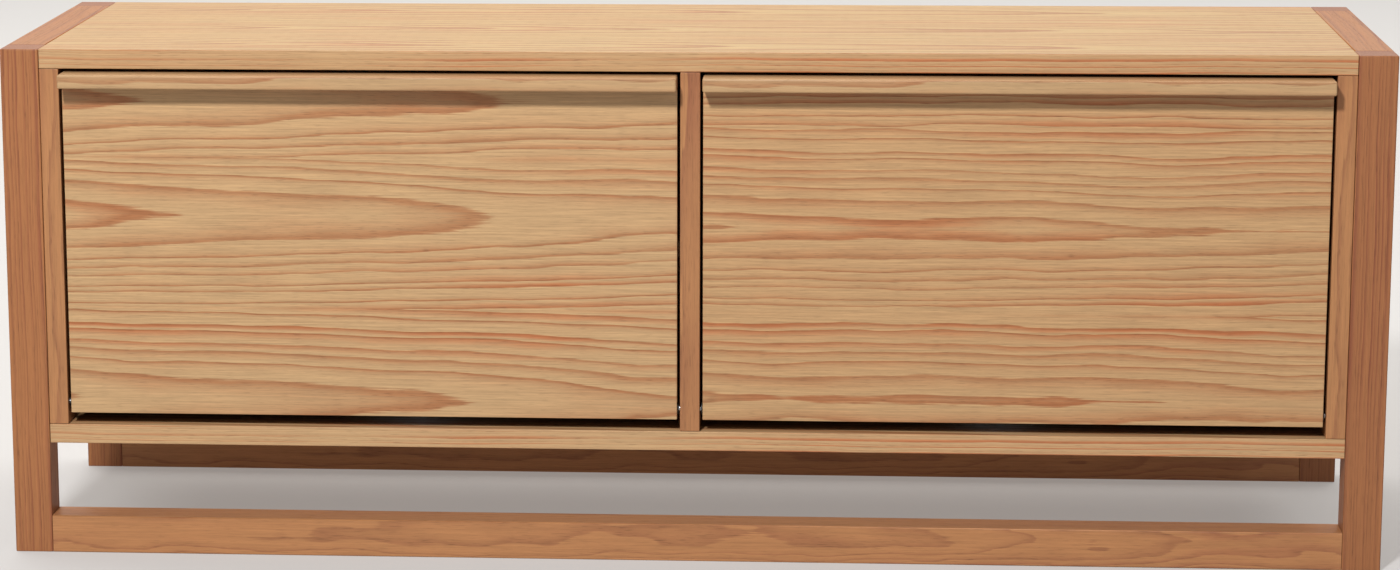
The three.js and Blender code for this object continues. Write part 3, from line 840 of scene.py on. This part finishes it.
def build_stud(label, x, inward, hardware, zinc):
    """Shouldered stud screwed into the side of the bay, with a flat head that keeps the bar on."""
    node = f"{label}_stay_stud"
    low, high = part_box(node)
    tip, stop = -min(abs(low.x - x), abs(high.x - x)), max(abs(low.x - x), abs(high.x - x))
    shank, collar, flange, head = hardware.pin_radius, 5 * MM, 8 * MM, 6.5 * MM
    # The flange just clears the panel, and the collar reaches out to the bar.
    foot, rim, shoulder, under_head = 0.3 * MM, 1.8 * MM, 8 * MM, stop - 1.8 * MM
    profile = [
        (tip, 0), (tip, shank), (foot, shank), (foot, flange), (rim, flange), (rim, collar),
        (shoulder, collar), (shoulder, shank), (under_head, shank), (under_head, head),
        (stop, head), (stop, 0)]
    centre = middle(node)
    bm = turned(profile, (x, centre.y, centre.z), (inward, 0, 0), edge=0.25 * MM)
    finish_piece(node + "_piece", bm, zinc, [node])


def build_rivet(label, x, inward, hardware, zinc):
    """Rivet through bracket and bar, with a domed head on each side."""
    node = f"{label}_stay_rivet"
    low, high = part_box(node)
    start, stop = sorted((abs(low.x - x), abs(high.x - x)))
    shank, head, tail = hardware.pin_radius, 5 * MM, 4.6 * MM
    head_rise, head_height = 1.2 * MM, 1.8 * MM
    tail_rise, tail_height = 0.9 * MM, 1.5 * MM
    profile = [
        (start, 0), (start, 0.55 * head), (start + head_rise / 2, 0.85 * head),
        (start + head_rise, head), (start + head_height, head), (start + head_height, shank),
        (stop - tail_height, shank), (stop - tail_height, tail), (stop - tail_rise, tail),
        (stop - tail_rise / 3, 0.8 * tail), (stop, 0.5 * tail), (stop, 0)]
    centre = middle(node)
    bm = turned(profile, (x, centre.y, centre.z), (inward, 0, 0), edge=0.12 * MM)
    finish_piece(node + "_piece", bm, zinc, [node])


def build_screw(name, body, seat, axis, zinc):
    """Pan-head screw with a round drive, standing on its seat along the axis."""
    head, height, drive, depth, sunk = 3.4 * MM, 1.7 * MM, 1.4 * MM, 1.0 * MM, 0.2 * MM
    profile = [
        (-sunk, 0), (-sunk, head), (0.3 * height, head), (0.75 * height, 0.85 * head),
        (height, 0.6 * head), (height, drive), (height - depth, drive), (height - depth, 0)]
    bm = turned(profile, seat, axis, sides=24, edge=0.1 * MM)
    finish_piece(name, bm, zinc, [], body)


def build_bracket(label, inward, black, zinc):
    """Angle bracket on the flap's inner face, with a lug for the rivet, and its two screws."""
    node = f"{label}_stay_bracket"
    bm = whole_mesh(node)
    soften(bm, 0.35 * MM)
    finish_piece(node + "_piece", bm, black, [node])
    low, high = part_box(node)
    # The plate's thickness, and how far its screws are from its side and its ends.
    plate, inset, margin = 2 * MM, 6.5 * MM, 8 * MM
    x = high.x - inset if inward > 0 else low.x + inset
    for name, z in (("upper", high.z - margin), ("lower", low.z + margin)):
        build_screw(f"{node}_{name}_screw", BODY_OF[node], (x, low.y + plate, z), BACK, zinc)


def build_catches(zinc, plastic):
    """Magnetic catches and their strike plates."""
    inset = 6 * MM
    for bay in BAYS:
        node = f"{bay}_magnetic_catch"
        low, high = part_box(node)
        bm = cuboid(low, high)
        soften(bm, 0.8 * MM, segments=3)
        finish_piece(node + "_piece", bm, plastic, [node])
        for name, x in (("left", low.x + inset), ("right", high.x - inset)):
            seat = (x, (low.y + high.y) / 2, low.z)
            build_screw(f"{node}_{name}_screw", BODY_OF[node], seat, DOWN, zinc)
        node = f"{bay}_strike_plate"
        bm = cuboid(*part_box(node))
        soften(bm, 0.3 * MM)
        finish_piece(node + "_piece", bm, zinc, [node])


def build_grommets(hardware, plastic):
    """Cable grommets pushed through the back panel."""
    wall, rim = 4 * MM, 2 * MM
    bore = hardware.outlet_radius
    sleeve = bore + wall
    for bay in BAYS:
        node = f"{bay}_cable_grommet"
        low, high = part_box(node)
        flange, length = (high.z - low.z) / 2, high.y - low.y
        profile = [(0, bore), (0, flange), (rim, flange), (rim, sleeve), (length, sleeve), (length, bore)]
        centre = ((low.x + high.x) / 2, low.y, (low.z + high.z) / 2)
        bm = turned(profile, centre, BACK, sides=64, edge=0.5 * MM)
        finish_piece(node + "_piece", bm, plastic, [node])


# ---------------------------------------------------------------- the stage


def build_floor(stage):
    """Plain pale floor, far wider than the cabinet: matt, and it glows a little."""
    material, _, surface = new_material("Pale studio floor")
    surface.inputs["Base Color"].default_value = (*stage.floor_colour, 1)
    surface.inputs["Roughness"].default_value = 0.9
    surface.inputs["Emission Color"].default_value = (*stage.floor_light, 1)
    surface.inputs["Emission Strength"].default_value = stage.floor_glow
    bm = bmesh.new()
    bmesh.ops.create_grid(bm, x_segments=1, y_segments=1, size=30)
    mesh = bpy.data.meshes.new("studio_floor")
    bm.to_mesh(mesh)
    bm.free()
    mesh.materials.append(material)
    floor = bpy.data.objects.new("studio_floor", mesh)
    bpy.context.scene.collection.objects.link(floor)


def add_softbox(name, place, target, size, power):
    """Oblong area light of this width and height, turned to face the target. Gives its lamp."""
    lamp = bpy.data.lights.new(name, "AREA")
    lamp.shape = "RECTANGLE"
    lamp.size, lamp.size_y = size
    lamp.energy = power
    light = bpy.data.objects.new(name, lamp)
    light.location = place
    light.rotation_euler = (Vector(target) - Vector(place)).to_track_quat("-Z", "Y").to_euler()
    bpy.context.scene.collection.objects.link(light)
    return lamp


def build_lights(stage):
    """Key light high on the left, a weak low one on the right, wide ones overhead and behind, and
    an even pale sky."""
    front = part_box("front_left_post")[0].y
    target = (0, front, 0.3)
    add_softbox(
        "Key light", place=(-0.82, front - 3.15, 2.96), target=target, size=(0.4, 0.4),
        power=stage.key_power)
    add_softbox(
        "Fill light", place=(1.5, front - 2.5, 1.66), target=target, size=(0.2, 0.2),
        power=stage.fill_power)
    top = add_softbox(
        "Top light", place=(-0.6, front + 2.8, 3.2), target=(-0.6, front + 2.8, 0), size=(7, 5),
        power=stage.top_power)
    top.color = stage.top_colour
    add_softbox(
        "Back light", place=(0, front + 6, 1.6), target=(0, front, 0.5), size=(10, 3),
        power=stage.back_power)
    world = bpy.data.worlds.new("Studio")
    world.use_nodes = True
    sky = world.node_tree.nodes["Background"]
    sky.inputs["Color"].default_value = (*stage.sky_colour, 1)
    sky.inputs["Strength"].default_value = stage.sky
    bpy.context.scene.world = world


def build_camera(stage):
    """Camera a little above the cabinet and to the right of its middle."""
    lens = bpy.data.cameras.new("Camera")
    lens.sensor_width = 36
    lens.lens = stage.lens
    lens.shift_x, lens.shift_y = stage.camera_shift
    camera = bpy.data.objects.new("Camera", lens)
    camera.location = Vector(stage.camera_place) + Vector((0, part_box("front_left_post")[0].y, 0))
    pitch, yaw, roll = (math.radians(angle) for angle in stage.camera_turn)
    look = Matrix.Rotation(yaw, 3, "Z") @ Matrix.Rotation(math.pi / 2 - pitch, 3, "X")
    camera.rotation_euler = (look @ Matrix.Rotation(roll, 3, "Z")).to_euler()
    bpy.context.scene.collection.objects.link(camera)
    bpy.context.scene.camera = camera


# ---------------------------------------------------------------- operators


class CABINET_OT_stage(bpy.types.Operator):
    """Set up the camera, the lights and the floor"""

    bl_idname = "cabinet.stage"
    bl_label = "Stage"
    bl_options = {"REGISTER", "UNDO"}

    def execute(self, context):
        stage = context.scene.cabinet_stage
        build_camera(stage)
        build_lights(stage)
        build_floor(stage)
        context.scene.view_settings.view_transform = "Standard"
        return {"FINISHED"}


class CABINET_OT_finishes(bpy.types.Operator):
    """Make the oak's growth and the finishes of the fittings"""

    bl_idname = "cabinet.finishes"
    bl_label = "Finishes"
    bl_options = {"REGISTER", "UNDO"}

    def execute(self, context):
        hardware = context.scene.cabinet_hardware
        oak_growth()
        zinc_plated_steel()
        black_coated_steel()
        moulded_plastic("Black nylon", hardware.nylon, 0.45)
        moulded_plastic("Black moulded plastic", hardware.black_plastic, 0.5)
        return {"FINISHED"}


class CABINET_OT_end_frames(bpy.types.Operator):
    """Make the posts and rails of the end frames"""

    bl_idname = "cabinet.end_frames"
    bl_label = "End frames"
    bl_options = {"REGISTER", "UNDO"}

    def execute(self, context):
        build_end_frames(context.scene.cabinet_wood)
        return {"FINISHED"}


class CABINET_OT_carcass(bpy.types.Operator):
    """Make the veneered panels of the carcass"""

    bl_idname = "cabinet.carcass"
    bl_label = "Carcass"
    bl_options = {"REGISTER", "UNDO"}

    def execute(self, context):
        build_carcass(context.scene.cabinet_wood)
        return {"FINISHED"}


class CABINET_OT_shelves(bpy.types.Operator):
    """Make the shelves and their pins"""

    bl_idname = "cabinet.shelves"
    bl_label = "Shelves"
    bl_options = {"REGISTER", "UNDO"}

    def execute(self, context):
        build_shelves(context.scene.cabinet_wood, bpy.data.materials["Zinc plated steel"])
        return {"FINISHED"}


class CABINET_OT_flaps(bpy.types.Operator):
    """Make the drop-down flaps and their pull strips"""

    bl_idname = "cabinet.flaps"
    bl_label = "Flaps"
    bl_options = {"REGISTER", "UNDO"}

    def execute(self, context):
        build_flaps(context.scene.cabinet_wood)
        return {"FINISHED"}


class CABINET_OT_fittings(bpy.types.Operator):
    """Make the pivots, stays, catches and grommets"""

    bl_idname = "cabinet.fittings"
    bl_label = "Fittings"
    bl_options = {"REGISTER", "UNDO"}

    def execute(self, context):
        hardware = context.scene.cabinet_hardware
        zinc = bpy.data.materials["Zinc plated steel"]
        black = bpy.data.materials["Black coated steel"]
        plastic = bpy.data.materials["Black moulded plastic"]
        build_pivots(hardware, zinc, bpy.data.materials["Black nylon"])
        build_stays(hardware, zinc, black)
        build_catches(zinc, plastic)
        build_grommets(hardware, plastic)
        return {"FINISHED"}


class CABINET_PT_panel(bpy.types.Panel):
    """Sidebar panel with every step and its settings"""

    bl_label = "Oak media cabinet"
    bl_space_type = "VIEW_3D"
    bl_region_type = "UI"
    bl_category = "Cabinet"

    def draw(self, context):
        layout = self.layout
        for step in STEPS:
            layout.operator(step.bl_idname)
        for group in ("cabinet_wood", "cabinet_hardware", "cabinet_stage"):
            settings = getattr(context.scene, group)
            box = layout.box()
            for name in settings.bl_rna.properties.keys():
                if name not in ("rna_type", "name"):
                    box.prop(settings, name)


STEPS = (CABINET_OT_stage, CABINET_OT_finishes, CABINET_OT_end_frames, CABINET_OT_carcass,
         CABINET_OT_shelves, CABINET_OT_flaps, CABINET_OT_fittings)
GROUPS = {"cabinet_wood": CabinetWood, "cabinet_hardware": CabinetHardware, "cabinet_stage": CabinetStage}


def register():
    for group in GROUPS.values():
        bpy.utils.register_class(group)
    for step in STEPS:
        bpy.utils.register_class(step)
    bpy.utils.register_class(CABINET_PT_panel)
    for name, group in GROUPS.items():
        setattr(bpy.types.Scene, name, PointerProperty(type=group))


def unregister():
    for name in GROUPS:
        delattr(bpy.types.Scene, name)
    bpy.utils.unregister_class(CABINET_PT_panel)
    for step in reversed(STEPS):
        bpy.utils.unregister_class(step)
    for group in reversed(GROUPS.values()):
        bpy.utils.unregister_class(group)


def main():
    register()
    bpy.ops.cabinet.stage()
    bpy.ops.cabinet.finishes()
    bpy.ops.cabinet.end_frames()
    bpy.ops.cabinet.carcass()
    bpy.ops.cabinet.shelves()
    bpy.ops.cabinet.flaps()
    bpy.ops.cabinet.fittings()


if __name__ == "__main__":
    main()
